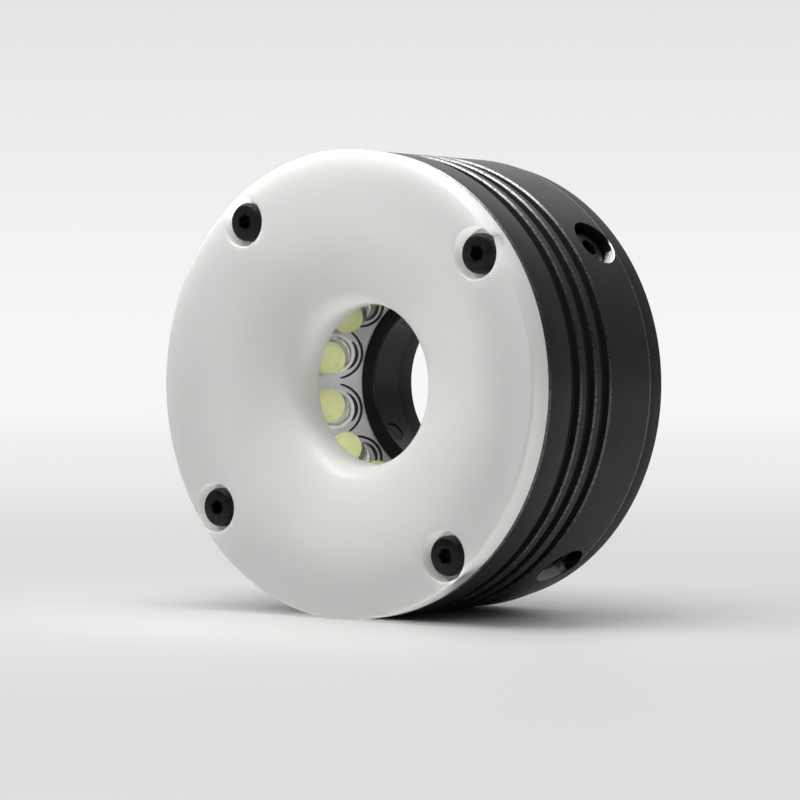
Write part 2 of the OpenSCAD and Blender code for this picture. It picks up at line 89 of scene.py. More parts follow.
def outward(degrees):
    angle = math.radians(degrees)
    return Vector((math.cos(angle), 0, math.sin(angle)))


def placed(origin, direction):
    """A frame at origin whose Z runs along direction, and whose X leans backwards where it can."""
    z_axis = direction.normalized()
    lean = BACKWARDS if abs(z_axis.y) < 0.99 else Vector((1, 0, 0))
    x_axis = (lean - z_axis * lean.dot(z_axis)).normalized()
    matrix = Matrix((x_axis, z_axis.cross(x_axis), z_axis)).transposed().to_4x4()
    matrix.translation = origin
    return matrix


def ring_of(radius, z, matrix, steps):
    """Points of a ring about local Z, where radius may be a function of the angle."""
    points = []
    for i in range(steps):
        angle = 2 * math.pi * i / steps
        r = radius(angle) if callable(radius) else radius
        points.append(matrix @ (Vector((r * math.cos(angle), r * math.sin(angle), z)) * MM))
    return points


def rounded(points):
    """A closed outline of (x, y, fillet radius) with its corners rounded."""
    out = []
    for i, (x, y, fillet) in enumerate(points):
        corner = Vector((x, y))
        if not fillet:
            out.append((x, y))
            continue
        before = (Vector(points[i - 1][:2]) - corner).normalized()
        after = (Vector(points[(i + 1) % len(points)][:2]) - corner).normalized()
        half = before.angle(after) / 2
        centre = corner + (before + after).normalized() * (fillet / math.sin(half))
        start = corner + before * (fillet / math.tan(half)) - centre
        end = corner + after * (fillet / math.tan(half)) - centre
        first, last = math.atan2(start.y, start.x), math.atan2(end.y, end.x)
        sweep = (last - first + math.pi) % (2 * math.pi) - math.pi
        for k in range(FILLET_STEPS + 1):
            angle = first + sweep * k / FILLET_STEPS
            out.append((centre.x + fillet * math.cos(angle), centre.y + fillet * math.sin(angle)))
    return out


def arc(centre_x, centre_y, radius, first, last, steps):
    angles = [math.radians(first + (last - first) * k / steps) for k in range(steps + 1)]
    return [(centre_x + radius * math.cos(a), centre_y + radius * math.sin(a)) for a in angles]


def piece_from(name, verts, faces, material, body="light", slot=None, extra=()):
    mesh = bpy.data.meshes.new(name)
    mesh.from_pydata(verts, [], faces)
    mesh.validate()
    shape = bmesh.new()
    shape.from_mesh(mesh)
    bmesh.ops.recalc_face_normals(shape, faces=shape.faces)
    shape.to_mesh(mesh)
    shape.free()
    obj = bpy.data.objects.new(name, mesh)
    bpy.context.scene.collection.objects.link(obj)
    for each in (material, *extra):
        if each:
            mesh.materials.append(each)
    if body:
        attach(obj, body)
    return obj


def smooth(obj, degrees=32):
    mesh = obj.data
    mesh.polygons.foreach_set("use_smooth", [True] * len(mesh.polygons))
    mesh.set_sharp_from_angle(angle=math.radians(degrees))
    return obj


def lathe_data(loop):
    """Points and faces of a closed outline of (radius, y) turned about the optical axis."""
    verts, faces, count = [], [], len(loop)
    for i in range(TURNED):
        angle = 2 * math.pi * i / TURNED
        verts += [seam_point(r * math.cos(angle), y, r * math.sin(angle)) for r, y in loop]
        j = (i + 1) % TURNED
        for k in range(count):
            m = (k + 1) % count
            faces.append((i * count + k, i * count + m, j * count + m, j * count + k))
    return verts, faces


class Pile:
    """Several simple solids gathered into one mesh."""
    def __init__(self):
        self.verts, self.faces = [], []

    def stacked(self, rings):
        """Adds a solid from rings of points, one above the other."""
        start, steps = len(self.verts), len(rings[0])
        for ring in rings:
            self.verts += ring
        for k in range(len(rings) - 1):
            low, high = start + k * steps, start + (k + 1) * steps
            for i in range(steps):
                j = (i + 1) % steps
                self.faces.append([low + i, low + j, high + j, high + i])
        top = start + (len(rings) - 1) * steps
        self.faces.append([start + i for i in range(steps)][::-1])
        self.faces.append([top + i for i in range(steps)])
        return self

    def spun(self, profile, matrix, steps=48):
        """Adds a solid turned about local Z from an open outline of (radius, z)."""
        return self.stacked([ring_of(r, z, matrix, steps) for r, z in profile])

    def hex(self, across, low, high, matrix, turn=0):
        """Adds a hexagonal bar from low to high, across its flats."""
        radius = across / math.sqrt(3)
        angles = [math.radians(60 * i + turn) for i in range(6)]
        corners = [(radius * math.cos(a), radius * math.sin(a)) for a in angles]
        return self.stacked([[matrix @ (Vector((x, y, z)) * MM) for x, y in corners] for z in (low, high)])

    def object(self, name, material, **options):
        return piece_from(name, self.verts, self.faces, material, **options)


def cut_away(obj, pile, material=None, joined=False):
    """Takes the pile's solids out of obj, whose walls there get the given material.

    joined says that obj is made of solids that overlap.
    """
    cutter = pile.object(obj.name + "_cutter", material, body=None)
    mod = obj.modifiers.new("cut", "BOOLEAN")
    mod.operation, mod.solver, mod.object, mod.use_self = "DIFFERENCE", "EXACT", cutter, joined
    if material:
        mod.material_mode = "TRANSFER"
    bpy.context.view_layer.update()
    mesh = bpy.data.meshes.new_from_object(obj.evaluated_get(bpy.context.evaluated_depsgraph_get()))
    obj.modifiers.clear()
    old = obj.data
    obj.data = mesh
    bpy.data.meshes.remove(old)
    bpy.data.objects.remove(cutter)


def bevels(loop):
    """The stretches of a turned outline that slope at its outer edge."""
    out = set()
    for k, (r0, y0) in enumerate(loop):
        r1, y1 = loop[(k + 1) % len(loop)]
        slope = math.degrees(math.atan2(abs(r1 - r0), abs(y1 - y0)))
        if 25 < slope < 65 and min(r0, r1) > R_OUT - 0.8:
            out.add(k)
    return out


def repaint(obj, loop, stretches):
    """Gives the turned faces of these stretches of the outline the second material."""
    for poly in obj.data.polygons:
        if poly.index % len(loop) in stretches:
            poly.material_index = 1


def lathe_normals(obj, loop):
    """Gives the turned faces the true normals of their outline, so that cuts leave no shading marks."""
    smooth(obj)
    count = len(loop)
    points = [Vector(p) for p in loop]
    ends = [points[(k + 1) % count] for k in range(count)]
    facing = []
    for start, end in zip(points, ends):
        along = (end - start).normalized()
        facing.append(Vector((along.y, -along.x)))
    if sum(start.x * end.y - end.x * start.y for start, end in zip(points, ends)) < 0:
        facing = [-each for each in facing]
    sharp = math.cos(math.radians(35))

    def at_corner(k, own):
        before, after = facing[k - 1], facing[k]
        return (before + after).normalized() if before.dot(after) > sharp else own

    def share_of(point, k):
        along = ends[k] - points[k]
        return max(0, min(1, (point - points[k]).dot(along) / max(along.length_squared, 1e-12)))

    mesh = obj.data
    out = [Vector(c.vector) for c in mesh.corner_normals]
    for poly in mesh.polygons:
        centre = poly.center
        radial = Vector((centre.x, 0, centre.z)).normalized()
        flat = Vector((poly.normal.dot(radial), poly.normal.y))
        if flat.length < 0.97:
            continue
        here = Vector((math.hypot(centre.x, centre.z) / MM, (centre.y - SEAM) / MM))
        near = [((points[k].lerp(ends[k], share_of(here, k)) - here).length, k)
                for k in range(count) if facing[k].dot(flat) > 0.985]
        if not near or min(near)[0] > 0.12:
            continue
        k = min(near)[1]
        first, last = at_corner(k, facing[k]), at_corner((k + 1) % count, facing[k])
        for corner in poly.loop_indices:
            place = mesh.vertices[mesh.loops[corner].vertex_index].co
            point = Vector((math.hypot(place.x, place.z) / MM, (place.y - SEAM) / MM))
            share = share_of(point, k)
            mixed = (first * (1 - share) + last * share).normalized()
            radial = Vector((place.x, 0, place.z)).normalized()
            out[corner] = (radial * mixed.x + Vector((0, mixed.y, 0))).normalized()
    mesh.normals_split_custom_set(out)


# materials

class Shade:
    """A material under construction, whose patterns are measured in metres on the piece."""
    def __init__(self, name):
        self.mat = bpy.data.materials.new(name)
        self.mat.use_nodes = True
        self.nodes, self.links = self.mat.node_tree.nodes, self.mat.node_tree.links
        self.bsdf = self.nodes["Principled BSDF"]
        self.place = self.nodes.new("ShaderNodeTexCoord").outputs["Object"]

    def set(self, **values):
        for name, value in values.items():
            self.bsdf.inputs[name.replace("_", " ")].default_value = value

    def feed(self, source, socket):
        self.links.new(source, self.bsdf.inputs[socket])

    def noise(self, scale, detail=3, rough=0.55):
        texture = self.nodes.new("ShaderNodeTexNoise")
        for name, value in (("Scale", scale), ("Detail", detail), ("Roughness", rough)):
            texture.inputs[name].default_value = value
        self.links.new(self.place, texture.inputs["Vector"])
        return texture.outputs["Fac"]

    def spread(self, source, low, high, from_low=0.3, from_high=0.7):
        """Maps source, from the range of the last two values, to low and high."""
        ramp = self.nodes.new("ShaderNodeMapRange")
        ends = (("From Min", from_low), ("From Max", from_high), ("To Min", low), ("To Max", high))
        for name, value in ends:
            ramp.inputs[name].default_value = value
        self.links.new(source, ramp.inputs["Value"])
        return ramp.outputs["Result"]

    def colours(self, source, stops):
        ramp = self.nodes.new("ShaderNodeValToRGB")
        marks = ramp.color_ramp.elements
        while len(marks) < len(stops):
            marks.new(0.5)
        for mark, (position, colour) in zip(marks, stops):
            mark.position, mark.color = position, (*colour, 1)
        self.links.new(source, ramp.inputs["Fac"])
        return ramp.outputs["Color"]

    def coat(self, low, high, scale, detail=3, stops=(0.3, 0.7)):
        """Colours the surface in patches between two colours."""
        self.feed(self.colours(self.noise(scale, detail), list(zip(stops, (low, high)))), "Base Color")

    def rough(self, low, high, scale):
        self.feed(self.spread(self.noise(scale, 2), low, high), "Roughness")

    def bump(self, source, distance, strength, onto=None):
        bumps = self.nodes.new("ShaderNodeBump")
        bumps.inputs["Strength"].default_value = strength
        bumps.inputs["Distance"].default_value = distance
        self.links.new(source, bumps.inputs["Height"])
        if onto:
            self.links.new(onto, bumps.inputs["Normal"])
        self.feed(bumps.outputs["Normal"], "Normal")
        return bumps.outputs["Normal"]

    def combined(self, operation, first, second):
        """The sum, product or maximum of a first socket and a second socket or number."""
        node = self.nodes.new("ShaderNodeMath")
        node.operation = operation
        self.links.new(first, node.inputs[0])
        if isinstance(second, float):
            node.inputs[1].default_value = second
        else:
            self.links.new(second, node.inputs[1])
        return node.outputs["Value"]

    def any_ray(self, *kinds):
        """1 for rays of the given kinds, such as Camera or Glossy, and otherwise 0."""
        path = self.nodes.new("ShaderNodeLightPath")
        total = path.outputs[f"Is {kinds[0]} Ray"]
        for kind in kinds[1:]:
            total = self.combined("MAXIMUM", total, path.outputs[f"Is {kind} Ray"])
        return total

    def clear(self, colour):
        glass = self.nodes.new("ShaderNodeBsdfTransparent")
        glass.inputs["Color"].default_value = (*colour, 1)
        return glass

    def layered(self, under, over, amount):
        """One shader over another, by amount."""
        mix = self.nodes.new("ShaderNodeMixShader")
        if isinstance(amount, float):
            mix.inputs["Fac"].default_value = amount
        else:
            self.links.new(amount, mix.inputs["Fac"])
        self.links.new(under.outputs[0], mix.inputs[1])
        self.links.new(over.outputs[0], mix.inputs[2])
        return mix

    def show(self, shader):
        """Puts a shader on the surface and gives the finished material."""
        self.links.new(shader.outputs[0], self.nodes["Material Output"].inputs["Surface"])
        return self.mat


def anodised(name, low, high, rough=(0.28, 0.4), grain=1.0):
    shade = Shade(name)
    shade.coat(low, high, 220, 4)
    shade.rough(*rough, 2600)
    shade.set(Metallic=0.0, IOR=1.25)
    fine = shade.bump(shade.noise(7000, 2, 0.6), 0.000012, 0.5 * grain)
    shade.bump(shade.noise(900), 0.00001, 0.25 * grain, fine)
    return shade.mat


# Shares of the light: what comes in through the opal's outer faces, what they carry along the
# rim, what the inner faces scatter, and what they pass straight into the lamp chamber
OPAL_LETS_IN, OPAL_CARRIES, OPAL_SCATTERS, OPAL_PASSES = 0.95, 0.3, 0.75, 0.65


def opal(name, scattered, passed, **values):
    """Opal acrylic that scatters and passes the given shares of the light behind it."""
    shade = Shade(name)
    shade.coat((0.87, 0.874, 0.865), (0.89, 0.894, 0.885), 60, 2)
    shade.rough(0.32, 0.37, 1800)
    shade.set(IOR=1.49, **values)
    shade.bump(shade.noise(5200, 2, 0.6), 0.000002, 0.3)
    glow = shade.nodes.new("ShaderNodeBsdfTranslucent")
    glow.inputs["Color"].default_value = (0.98, 0.98, 0.965, 1)
    body = shade.layered(shade.bsdf, glow, scattered)
    through = shade.combined("MULTIPLY", shade.any_ray("Shadow"), passed)
    return shade.show(shade.layered(body, shade.clear((0.98, 0.98, 0.96)), through))


def epoxy():
    shade = Shade("clear_epoxy")
    shade.coat((0.95, 0.965, 0.9), (0.98, 0.985, 0.95), 400, 2)
    shade.set(IOR=1.52, Roughness=0.03, Transmission_Weight=1.0)
    clear = shade.clear((0.985, 0.99, 0.965))
    return shade.show(shade.layered(shade.bsdf, clear, shade.any_ray("Shadow")))


def steel_black():
    shade = Shade("black_oxide_steel")
    shade.coat((0.004, 0.004, 0.0045), (0.014, 0.014, 0.015), 900, 4, (0.35, 0.7))
    shade.rough(0.26, 0.42, 3000)
    shade.set(Metallic=0.0, IOR=1.28)
    shade.bump(shade.noise(6000, 3, 0.6), 0.00001, 0.4)
    return shade.mat


def phosphor():
    shade = Shade("yellow_phosphor")
    shade.coat((0.80, 0.82, 0.40), (0.88, 0.90, 0.50), 2600, 4)
    shade.rough(0.5, 0.75, 4000)
    shade.bump(shade.noise(5000), 0.00003, 0.6)
    return shade.mat


def board_mask():
    shade = Shade("pale_solder_mask")
    shade.coat((0.78, 0.765, 0.81), (0.84, 0.825, 0.865), 900, 4)
    shade.rough(0.38, 0.52, 2600)
    shade.bump(shade.noise(2400), 0.00001, 0.5)
    return shade.mat


def bores_with_painted_highlight():
    """Black bores whose walls are painted pale where they face up, a painted highlight of the light from
    above.
    """
    shade = Shade("black_bores_painted_highlight")
    parts = shade.nodes.new("ShaderNodeSeparateXYZ")
    facing = shade.nodes.new("ShaderNodeTexCoord").outputs["Normal"]
    shade.links.new(facing, parts.inputs["Vector"])
    uneven = shade.spread(shade.noise(700), -0.12, 0.12)
    facing_up = shade.combined("ADD", parts.outputs["Z"], uneven)
    # painted highlight: the wall turns pale and metallic where it faces up
    up_facing_highlight = shade.spread(facing_up, 0, 1, 0.26, 0.38)
    shade.feed(shade.colours(up_facing_highlight, [(0.0, (0.008, 0.008, 0.009)), (1.0, (0.8, 0.8, 0.81))]), "Base Color")
    shade.feed(shade.spread(facing_up, 0.3, 0.55, 0.26, 0.38), "Roughness")
    shade.set(Metallic=0.3)
    shade.bump(shade.noise(2400, 2), 0.00002, 0.5)
    return shade.mat


def plain(name, low, high, rough, scale=1500, **values):
    shade = Shade(name)
    shade.coat(low, high, scale)
    shade.rough(*rough, scale * 2)
    shade.set(**values)
    shade.bump(shade.noise(scale * 3, 2), 0.00001, 0.4)
    return shade.mat


BLACK = anodised("anodised_housing", (0.020, 0.020, 0.0212), (0.027, 0.027, 0.0285))
PLATE = anodised("anodised_plate", (0.014, 0.014, 0.0152), (0.020, 0.020, 0.0215), (0.34, 0.46))
WALLS = anodised("anodised_bores", (0.012, 0.012, 0.0135), (0.02, 0.02, 0.022), (0.22, 0.34), 0.5)
# brighter metallic colour on the housing's bevels: partly edge wear, partly painted highlight of the light
# from above
EDGE_WEAR_AND_HIGHLIGHT = plain("worn_edges_and_painted_highlight", (0.05, 0.05, 0.052), (0.17, 0.17, 0.174), (0.24, 0.34), 2400, Metallic=0.75)
# painted highlight: the clamp holes' walls are coloured pale where they face up
BORES_PAINTED_HIGHLIGHT = bores_with_painted_highlight()
OPAL = opal("opal_acrylic", OPAL_CARRIES, OPAL_LETS_IN, Subsurface_Weight=1.0,
            Subsurface_Radius=(1.0, 0.97, 0.92), Subsurface_Scale=0.0025)
OPAL_BACK = opal("opal_acrylic_lit_through", OPAL_SCATTERS, OPAL_PASSES)
STEEL = steel_black()
EPOXY = epoxy()
PHOSPHOR = phosphor()
MASK = board_mask()
INK = plain("printed_ink", (0.006, 0.005, 0.008), (0.012, 0.010, 0.014), (0.4, 0.55))
TINNED = plain("tinned_leads", (0.5, 0.5, 0.51), (0.66, 0.66, 0.66), (0.25, 0.4), Metallic=1.0)
SILVER = plain("reflector_cup", (0.7, 0.7, 0.68), (0.82, 0.82, 0.8), (0.15, 0.25), Metallic=1.0)
NICKEL = plain("nickel_plate", (0.52, 0.51, 0.49), (0.62, 0.61, 0.58), (0.2, 0.32), Metallic=1.0)
RUBBER = plain("black_rubber", (0.012, 0.012, 0.012), (0.022, 0.022, 0.022), (0.6, 0.75))
TAPE = plain("thermal_tape", (0.58, 0.58, 0.54), (0.68, 0.68, 0.64), (0.5, 0.65))
CHIP = plain("resistor_body", (0.02, 0.02, 0.021), (0.035, 0.034, 0.034), (0.35, 0.5))
WIRE = plain("wire_insulation", (0.24, 0.03, 0.022), (0.32, 0.045, 0.03), (0.3, 0.45))

for node, material in (("lamp_board", MASK), ("board_tape", TAPE), ("inner_leads", TINNED),
                       ("outer_leads", TINNED), ("resistors", CHIP), ("supply_wires", WIRE)):
    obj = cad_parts[node]
    obj.data.materials.clear()
    obj.data.materials.append(material)
    obj.data.polygons.foreach_set("material_index", [0] * len(obj.data.polygons))


# housing

def board_y(r):
    return BOARD_Y - (r - BOARD_R) * math.tan(TILT)


def seat_y(r):
    return board_y(r) + SEAT_GAP / math.cos(TILT)


outline = [(R_OUT - FRONT_BEVEL, 0, 0.12), (R_OUT, FRONT_BEVEL, 0.2)]
groove_r = R_OUT - GROOVE_DEEP
for i in range(GROOVES):
    front = GROOVE_FROM + GROOVE_STEP * i
    rear = front + GROOVE_WIDE
    outline += [(R_OUT, front - WORN_LIP, BREAK), (R_OUT - WORN_LIP, front, BREAK),
                (groove_r, front, GROOVE_FILLET), (groove_r, rear, GROOVE_FILLET),
                (R_OUT - WORN_LIP, rear, BREAK), (R_OUT, rear + WORN_LIP, BREAK)]
# painted highlight: a narrow band of the cylinder just before the rear bevel takes the edge colour, as a
# light line along the rear rim
painted_highlight_band = (R_OUT, REAR - HIGHLIGHT_BAND)
outline += [(*painted_highlight_band, 0), (R_OUT, REAR - REAR_BEVEL, BREAK), (R_OUT - REAR_BEVEL, REAR, BREAK),
            (BORE_R, REAR, 0), (BORE_R, HUB_FRONT + BORE_BEVEL, 0), (BORE_R + BORE_BEVEL, HUB_FRONT, 0),
            (HUB_R, HUB_FRONT, BREAK), (HUB_R, seat_y(HUB_R), 0), (CHAMBER_R, seat_y(CHAMBER_R), 0),
            (CHAMBER_R, MOUTH_BEVEL, 0), (CHAMBER_R + MOUTH_BEVEL, 0, 0)]
housing_loop = rounded(outline)
housing = piece_from("housing_shell", *lathe_data(housing_loop), BLACK, slot="anodised", extra=(EDGE_WEAR_AND_HIGHLIGHT,))
# the bevels and the band take the edge colour, which is wear and painted highlight
repaint(housing, housing_loop, bevels(housing_loop) | {housing_loop.index(painted_highlight_band)})
holes, clamp_holes = Pile(), Pile()
for i in range(SCREWS):
    a = FIRST + 90 * i
    clamp_holes.spun([(SCREW_HOLE_R, 10), (SCREW_HOLE_R, CLAMP_FLOOR), (CLAMP_HOLE_R, CLAMP_FLOOR),
                      (CLAMP_HOLE_R, R_OUT - 0.2), (CLAMP_HOLE_R + 0.1, R_OUT - 0.05), (4.2, R_OUT + 0.4)],
                     placed(around(a, 0, CLAMP_Y), outward(a)), FINE)
    holes.spun([(SCREW_HOLE_R, -0.5), (SCREW_HOLE_R, 7.5)], placed(around(a, COVER_CIRCLE, 0), BACKWARDS))
    holes.spun([(SCREW_HOLE_R, -20.0), (SCREW_HOLE_R, -REAR - 0.5)],
               placed(around(a + REAR_TURN, REAR_CIRCLE, 0), FORWARDS))
holes.spun([(INLET_HOLE_R, CHAMBER_R - 0.05), (INLET_HOLE_R, INLET_FLAT), (INLET_FLAT_R, INLET_FLAT),
            (INLET_FLAT_R, 34)], placed(around(INLET, 0, INLET_Y), outward(INLET)), FINE)
cut_away(housing, holes, WALLS)
# the clamp holes' walls get the painted highlight on their upward side
cut_away(housing, clamp_holes, BORES_PAINTED_HIGHLIGHT)
lathe_normals(housing, housing_loop)
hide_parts("housing")

# rear plate

END = REAR + PLATE_THICK
plate_r = R_OUT - PLATE_STEP
plate_loop = rounded([(PLATE_HOLE_R, REAR, 0.1), (plate_r, REAR, 0.1), (plate_r, END, 0.4),
                      (PLATE_HOLE_R, END, 0.25)])
plate = piece_from("rear_cover", *lathe_data(plate_loop), PLATE, slot="anodised")
holes = Pile()
for i in range(SCREWS):
    holes.spun([(SCREW_HOLE_R, REAR - 1), (SCREW_HOLE_R, END - REAR_HEAD_R + SCREW_HOLE_R),
                (REAR_HEAD_R, END), (REAR_HEAD_R + 0.5, END + 0.5)],
               placed(around(FIRST + REAR_TURN + 90 * i, REAR_CIRCLE, 0), BACKWARDS), ROUND)
cut_away(plate, holes, WALLS)
lathe_normals(plate, plate_loop)
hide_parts("rear_plate")

# diffuser: a throat, a tight bend, and a wide arc that flattens into the rim

FRONT, WALL, THROAT, THROAT_END, BEND, STRAIGHT, FLARE = -3.6, 2.4, 11.35, 5.6, 3.5, 2.8, 27.5
SPIGOT_R, SPIGOT_INSIDE, SPIGOT_END, RIM_ROUND, SEAM_ROUND, LIP_ROUND = 26.05, 23.85, 1.5, 0.45, 0.12, 0.2
bend_x = THROAT + BEND
rise, run = STRAIGHT - FRONT - BEND, FLARE - bend_x
turn = math.degrees(2 * math.atan(rise / run))
wide = run / math.sin(math.radians(turn)) + BEND
wide_y = FRONT + wide
back = wide - WALL
back_from = -90 - math.degrees(math.asin((FLARE - SPIGOT_INSIDE) / back))
spigot_corner = (SPIGOT_R, SPIGOT_END)
diffuser_loop = (
    arc(THROAT + LIP_ROUND, THROAT_END, LIP_ROUND, 90, 180, 4)
    + arc(bend_x, STRAIGHT, BEND, -180, -90 - turn, 24)
    + arc(FLARE, wide_y, wide, -90 - turn, -90, 24)[1:]
    + arc(R_OUT - RIM_ROUND, FRONT + RIM_ROUND, RIM_ROUND, -90, 0, 8)
    + arc(R_OUT - SEAM_ROUND, -SEAM_ROUND, SEAM_ROUND, 0, 90, 3)
    + [(SPIGOT_R, 0), spigot_corner, (SPIGOT_INSIDE, SPIGOT_END)]
    + arc(FLARE, wide_y, back, back_from, -90 - turn, 16)
    + arc(bend_x, STRAIGHT, BEND - WALL, -90 - turn - 4, -180, 12)
    + arc(THROAT + WALL - LIP_ROUND, THROAT_END, LIP_ROUND, 0, 90, 4)
)
diffuser = piece_from("opal_diffuser", *lathe_data(diffuser_loop), OPAL, slot="opal", extra=(OPAL_BACK,))
repaint(diffuser, diffuser_loop, range(diffuser_loop.index(spigot_corner), len(diffuser_loop) - 3))
holes = Pile()
for i in range(SCREWS):
    holes.spun([(SCREW_HOLE_R, -4), (SCREW_HOLE_R, COVER_SEAT), (COVER_HOLE_R, COVER_SEAT),
                (COVER_HOLE_R, 3.45), (COVER_HOLE_R + 0.15, 3.6), (4.05, 4)],
               placed(around(FIRST + 90 * i, COVER_CIRCLE, 0), FORWARDS), FINE)
cut_away(diffuser, holes)
lathe_normals(diffuser, diffuser_loop)
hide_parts("diffuser")


# screws

TEETH, TOOTH_DEEP = 36, 0.07
THREAD_R, THREAD_PITCH, THREAD_DEEP, THREAD_TIP, THREAD_ROWS, THREAD_STEPS = 1.5, 0.5, 0.26, 0.1, 6, 24
SOCKET_DEEP, SMALL_SOCKET, CLAMP_SOCKET = 1.5, 2.0, 2.5


def knurled(high, matrix, pile):
    """A screw's head, whose side is cut with fine teeth, from z 0 up to high."""
    def toothed(radius):
        return lambda angle: radius - TOOTH_DEEP * abs(math.sin(angle * TEETH / 2))

    rings = [(HEAD_R - 0.3, 0), (toothed(HEAD_R - 0.03), 0.22), (toothed(HEAD_R), 0.3),
             (toothed(HEAD_R), high - 0.42), (toothed(HEAD_R - 0.06), high - 0.3),
             (HEAD_R - 0.3, high - 0.06), (HEAD_R - 0.42, high)]
    pile.stacked([ring_of(r, z, matrix, TEETH * 4) for r, z in rings])


def threaded(top, end, matrix, pile):
    """A shank from top down to end with a rolled thread."""
    def ridges(z):
        core = THREAD_R - THREAD_TIP * (1 - min(1, (z - end) / THREAD_TIP))
        deep = THREAD_DEEP * min(1, (top - z) / 0.6, (z - end) / 0.4)
        turns = (top - z) / THREAD_PITCH
        return lambda angle: core - deep * abs((turns + angle / (2 * math.pi)) % 1 - 0.5) * 2

    rows = int((top - end) / THREAD_PITCH * THREAD_ROWS)
    heights = [top + (end - top) * k / rows for k in range(rows + 1)]
    pile.stacked([ring_of(ridges(z), z, matrix, THREAD_STEPS) for z in heights])


def socket_screw(name, places, head_high, length, across, body, node, turned):
    """Socket head screws, each with the underside of its head at z 0 of its place."""
    pile, sockets = Pile(), Pile()
    for i, matrix in enumerate(places):
        knurled(head_high, matrix, pile)
        threaded(0.02, -length, matrix, pile)
        sockets.hex(across, head_high - SOCKET_DEEP, head_high + 0.5, matrix, turned + 17 * i)
    obj = pile.object(name, STEEL, body=body, slot="black_steel")
    cut_away(obj, sockets)
    smooth(obj, 40)
    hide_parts(node)


cover_places = [placed(around(FIRST + 90 * i, COVER_CIRCLE, -COVER_SEAT), FORWARDS) for i in range(SCREWS)]
socket_screw("cover_screw_set", cover_places, head_high=2.0, length=8, across=SMALL_SOCKET,
             body="light", node="cover_screws", turned=10)
for i in range(SCREWS):
    a = FIRST + 90 * i
    clamp_place = placed(around(a, CLAMP_HEAD_FROM, CLAMP_Y), outward(a))
    socket_screw(f"clamp_screw_{i + 1}_detail", [clamp_place], head_high=3.0, length=16.35,
                 across=CLAMP_SOCKET, body=f"clamp_screw_{i + 1}", node=f"clamp_screw_{i + 1}",
                 turned=12 + 20 * i)

pile, sockets = Pile(), Pile()
for i in range(SCREWS):
    matrix = placed(around(FIRST + REAR_TURN + 90 * i, REAR_CIRCLE, END), BACKWARDS)
    pile.spun([(THREAD_R, -1.6), (2.95, -0.1), (2.95, -0.03), (2.88, 0)], matrix, ROUND)
    threaded(-1.4, -8, matrix, pile)
    sockets.hex(SMALL_SOCKET, -SOCKET_DEEP, 0.5, matrix, 11 * i)
rear_screws = pile.object("rear_screw_set", STEEL, slot="black_steel")
cut_away(rear_screws, sockets)
smooth(rear_screws, 40)
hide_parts("rear_screws")


# lamps

LENS = ([(2.85, 0), (2.9, 0.08), (2.9, 0.92), (2.82, 1.0), (2.55, 1.05), (LAMP_R, 1.15)]
        + arc(0, DOME_FROM, LAMP_R, 0, 84, 14) + [(0.12, 8.597)])
CUP = [(0.9, 3.0), (1.1, 3.0), (1.4, 4.2), (2.1, 5.9), (2.05, 6.0), (1.95, 5.9), (1.1, 4.3), (0.5, 4.2)]
DISC = [(1.1, 4.6), (2.0, 5.86), (2.0, 5.96), (1.7, 6.05), (0.9, 6.12), (0.2, 6.15)]

# Radius, half of the arc's angle, half of its width and how soon its ends taper, for each printed arc
ARCS = ((2.95, 46, 0.34, 0.6), (3.85, 68, 0.15, 0.2))
ARC_END, ARC_SUNK, ARC_RAISED = 0.05, -0.01, 0.012


def lamp_places(count, first, along):
    """Frames of a row of lamps, at a distance along the board from its inner edge."""
    places = []
    for i in range(count):
        a = first + 360 * i / count
        origin = around(a, BOARD_R + along * math.cos(TILT), BOARD_Y - along * math.sin(TILT))
        direction = -outward(a) * math.sin(TILT) + FORWARDS * math.cos(TILT)
        places.append(placed(origin + direction * LAMP_LIFT * MM, direction))
    return places


def lamps(row, places):
    glass, cups, glow = Pile(), Pile(), Pile()
    for matrix in places:
        glass.spun(LENS, matrix)
        cups.spun(CUP, matrix, COARSE)
        glow.spun(DISC, matrix, COARSE)
    glass = smooth(glass.object(row + "_lamp_lenses", EPOXY, slot="epoxy"), 50)
    smooth(cups.object(row + "_lamp_cups", SILVER, slot="tinned"))
    glow = smooth(glow.object(row + "_lamp_phosphor", PHOSPHOR, slot="phosphor"))
    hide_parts(row + "_lamps")
    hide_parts(row + "_phosphors")


def on_board(radius, angle, lift, matrix):
    """The point at radius and angle around a lamp that is lifted this far off the board."""
    point = matrix @ (Vector((radius * math.cos(angle), radius * math.sin(angle), -LAMP_LIFT)) * MM)
    point.y = SEAM + (board_y(math.hypot(point.x, point.z) / MM) - lift) * MM
    return point


def printed_arcs(places):
    """Two arcs beside each lamp, on the side of the optical axis, each thick in the middle."""
    pile = Pile()
    for matrix in places:
        for radius, half_angle, thick, taper in ARCS:
            sections = []
            for k in range(COARSE + 1):
                share = 2 * k / COARSE - 1
                half = thick * math.cos(math.pi / 2 * share) ** taper + ARC_END
                corners = ((radius - half, ARC_SUNK), (radius + half, ARC_SUNK),
                           (radius + half, ARC_RAISED), (radius - half, ARC_RAISED))
                angle = math.radians(half_angle * share)
                sections.append([on_board(r, angle, lift, matrix) for r, lift in corners])
            pile.stacked(sections)
    marks = pile.object("printed_arcs", INK, slot="ink")
    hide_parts("board_marks")


inner_places = lamp_places(INNER_LAMPS, INNER_FIRST, INNER_ROW)
printed_arcs(inner_places)
lamps("inner", inner_places)
lamps("outer", lamp_places(OUTER_LAMPS, INLET + OUTER_TURN, OUTER_ROW))

# cable inlet

